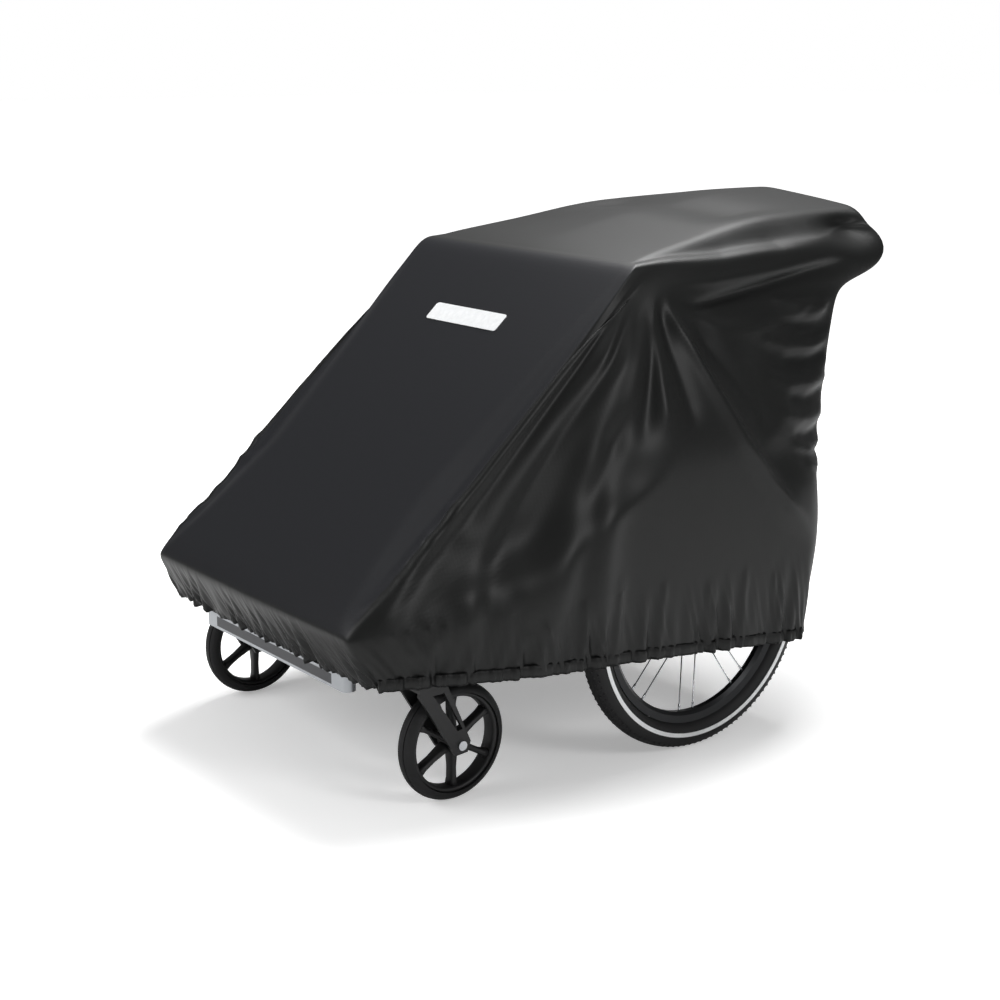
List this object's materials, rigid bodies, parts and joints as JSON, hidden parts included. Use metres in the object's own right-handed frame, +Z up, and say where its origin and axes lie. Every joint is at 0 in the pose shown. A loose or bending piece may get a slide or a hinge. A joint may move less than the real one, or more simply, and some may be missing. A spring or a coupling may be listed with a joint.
{
  "type": "child bicycle trailer",
  "caption": "Two-seat folding child trailer on large rear wheels and front swivel casters, under a fitted cloth storage cover that lifts off.",
  "frame": {"origin": "on the ground, at the middle of the whole object's footprint box", "axes": "+Z up; -Y to the front; +X to the trailer's left-hand side"},
  "size_m": [0.818, 1.28, 0.911],
  "materials": {
    "frame_tube": "satin powder coat",
    "casting": "moulded, matt",
    "bumper_metal": "brushed, anodised",
    "bumper_plastic": "moulded, matt",
    "floor_plastic": "moulded, matt",
    "steel": "zinc plated",
    "seat_cloth": "woven, padded",
    "webbing": "woven strap",
    "buckle_plastic": "moulded",
    "pedal_plastic": "moulded, red",
    "grip_foam": "foam",
    "tyre_rubber": "matt rubber",
    "rim_black": "black anodised",
    "reflective": "reflective band",
    "caster_plastic": "moulded, matt",
    "cover_cloth": "coated polyester, satin"
  },
  "bodies": {
    "chassis": {"base_rail_left": "frame_tube", "base_rail_right": "frame_tube", "axle_tube": "frame_tube", "axle_receivers": "casting", "floor_pan": "floor_plastic", "nose_hoop": "frame_tube", "bumper_bar": "bumper_metal", "bumper_insert": "bumper_plastic", "bumper_brackets": "bumper_metal", "hinge_brackets": "casting", "hinge_pins": "steel", "caster_sockets": "casting", "hitch_receiver": "casting", "seat_bench": "seat_cloth", "frame_screws": "steel", "brake_shaft": "frame_tube", "axle_left": "steel", "axle_right": "steel"},
    "brake_lever": {"brake_pedal": "pedal_plastic"},
    "brake_bolt_left": {"brake_pin_left": "steel"},
    "brake_bolt_right": {"brake_pin_right": "steel"},
    "upper_frame": {"rear_hoop": "frame_tube", "front_hoop": "frame_tube", "roof_rails": "frame_tube", "hinge_knuckles": "casting", "seat_back": "seat_cloth", "back_pads": "seat_cloth", "harness_straps": "webbing", "harness_buckles": "buckle_plastic"},
    "handle_knuckles": {"handle_hubs": "casting"},
    "handlebar": {"handlebar_tube": "frame_tube", "handlebar_grip": "grip_foam"},
    "cover": {"cover_front": "cover_cloth", "cover_roof": "cover_cloth", "cover_side_left": "cover_cloth", "cover_side_right": "cover_cloth", "cover_rear": "cover_cloth", "cover_hem": "cover_cloth"},
    "rear_wheel_left": {"tyre_left": "tyre_rubber", "rim_left": "rim_black", "stripe_left": "reflective", "spokes_left": "steel", "hub_left": "casting"},
    "axle_button_left": {"button_left": "casting"},
    "caster_fork_left": {"fork_left": "casting", "stem_left": "steel", "caster_bolt_left": "steel"},
    "caster_wheel_left": {"caster_rim_left": "caster_plastic", "caster_tyre_left": "tyre_rubber"},
    "rear_wheel_right": {"tyre_right": "tyre_rubber", "rim_right": "rim_black", "stripe_right": "reflective", "spokes_right": "steel", "hub_right": "casting"},
    "axle_button_right": {"button_right": "casting"},
    "caster_fork_right": {"fork_right": "casting", "stem_right": "steel", "caster_bolt_right": "steel"},
    "caster_wheel_right": {"caster_rim_right": "caster_plastic", "caster_tyre_right": "tyre_rubber"}
  },
  "joints": [
    {"name": "rear_wheel_left_spin", "type": "hinge", "parent": "chassis", "child": "rear_wheel_left", "pos_m": [0.381, 0.035, 0.25], "axis": [1, 0, 0], "continuous": true},
    {"name": "axle_button_left_press", "type": "slide", "parent": "chassis", "child": "axle_button_left", "axis": [-1, 0, 0], "range_m": [0, 0.0024], "stiffness_N_per_m": 600},
    {"name": "caster_left_swivel", "type": "hinge", "parent": "chassis", "child": "caster_fork_left", "pos_m": [0.318, -0.495, 0.2], "axis": [0, 0, 1], "continuous": true},
    {"name": "caster_left_spin", "type": "hinge", "parent": "caster_fork_left", "child": "caster_wheel_left", "pos_m": [0.318, -0.44, 0.1], "axis": [1, 0, 0], "continuous": true},
    {"name": "rear_wheel_right_spin", "type": "hinge", "parent": "chassis", "child": "rear_wheel_right", "pos_m": [-0.381, 0.035, 0.25], "axis": [1, 0, 0], "continuous": true},
    {"name": "axle_button_right_press", "type": "slide", "parent": "chassis", "child": "axle_button_right", "axis": [1, 0, 0], "range_m": [0, 0.0024], "stiffness_N_per_m": 600},
    {"name": "caster_right_swivel", "type": "hinge", "parent": "chassis", "child": "caster_fork_right", "pos_m": [-0.318, -0.495, 0.2], "axis": [0, 0, 1], "continuous": true},
    {"name": "caster_right_spin", "type": "hinge", "parent": "caster_fork_right", "child": "caster_wheel_right", "pos_m": [-0.318, -0.44, 0.1], "axis": [1, 0, 0], "continuous": true},
    {"name": "frame_fold", "type": "hinge", "parent": "chassis", "child": "upper_frame", "pos_m": [0, 0.2, 0.256], "axis": [1, 0, 0], "range_deg": [0, 60]},
    {"name": "handle_fold", "type": "hinge", "parent": "upper_frame", "child": "handle_knuckles", "pos_m": [0, 0.3, 0.778], "axis": [1, 0, 0], "range_deg": [-72.5, 0]},
    {"name": "handlebar_tilt", "type": "hinge", "parent": "handle_knuckles", "child": "handlebar", "pos_m": [0, 0.3, 0.778], "axis": [-1, 0, 0], "range_deg": [0, 10]},
    {"name": "brake_press", "type": "hinge", "parent": "chassis", "child": "brake_lever", "pos_m": [0, 0.228, 0.216], "axis": [-1, 0, 0], "range_deg": [0, 18]},
    {"name": "brake_bolt_left_slide", "type": "slide", "parent": "chassis", "child": "brake_bolt_left", "axis": [1, 0, 0], "range_m": [0, 0.0082]},
    {"name": "brake_bolt_right_slide", "type": "slide", "parent": "chassis", "child": "brake_bolt_right", "axis": [-1, 0, 0], "range_m": [0, 0.0082]},
    {"name": "cover_lift", "type": "slide", "parent": "chassis", "child": "cover", "axis": [0, 0, 1], "range_m": [0, 1.1], "deforming": ["cover_rear", "cover_hem"]}
  ],
  "couplings": [
    {"joint": "handle_fold", "follows": "frame_fold", "ratio": -1.2},
    {"joint": "brake_bolt_left_slide", "follows": "brake_press", "m_per_rad": 0.025465},
    {"joint": "brake_bolt_right_slide", "follows": "brake_press", "m_per_rad": 0.025465}
  ]
}
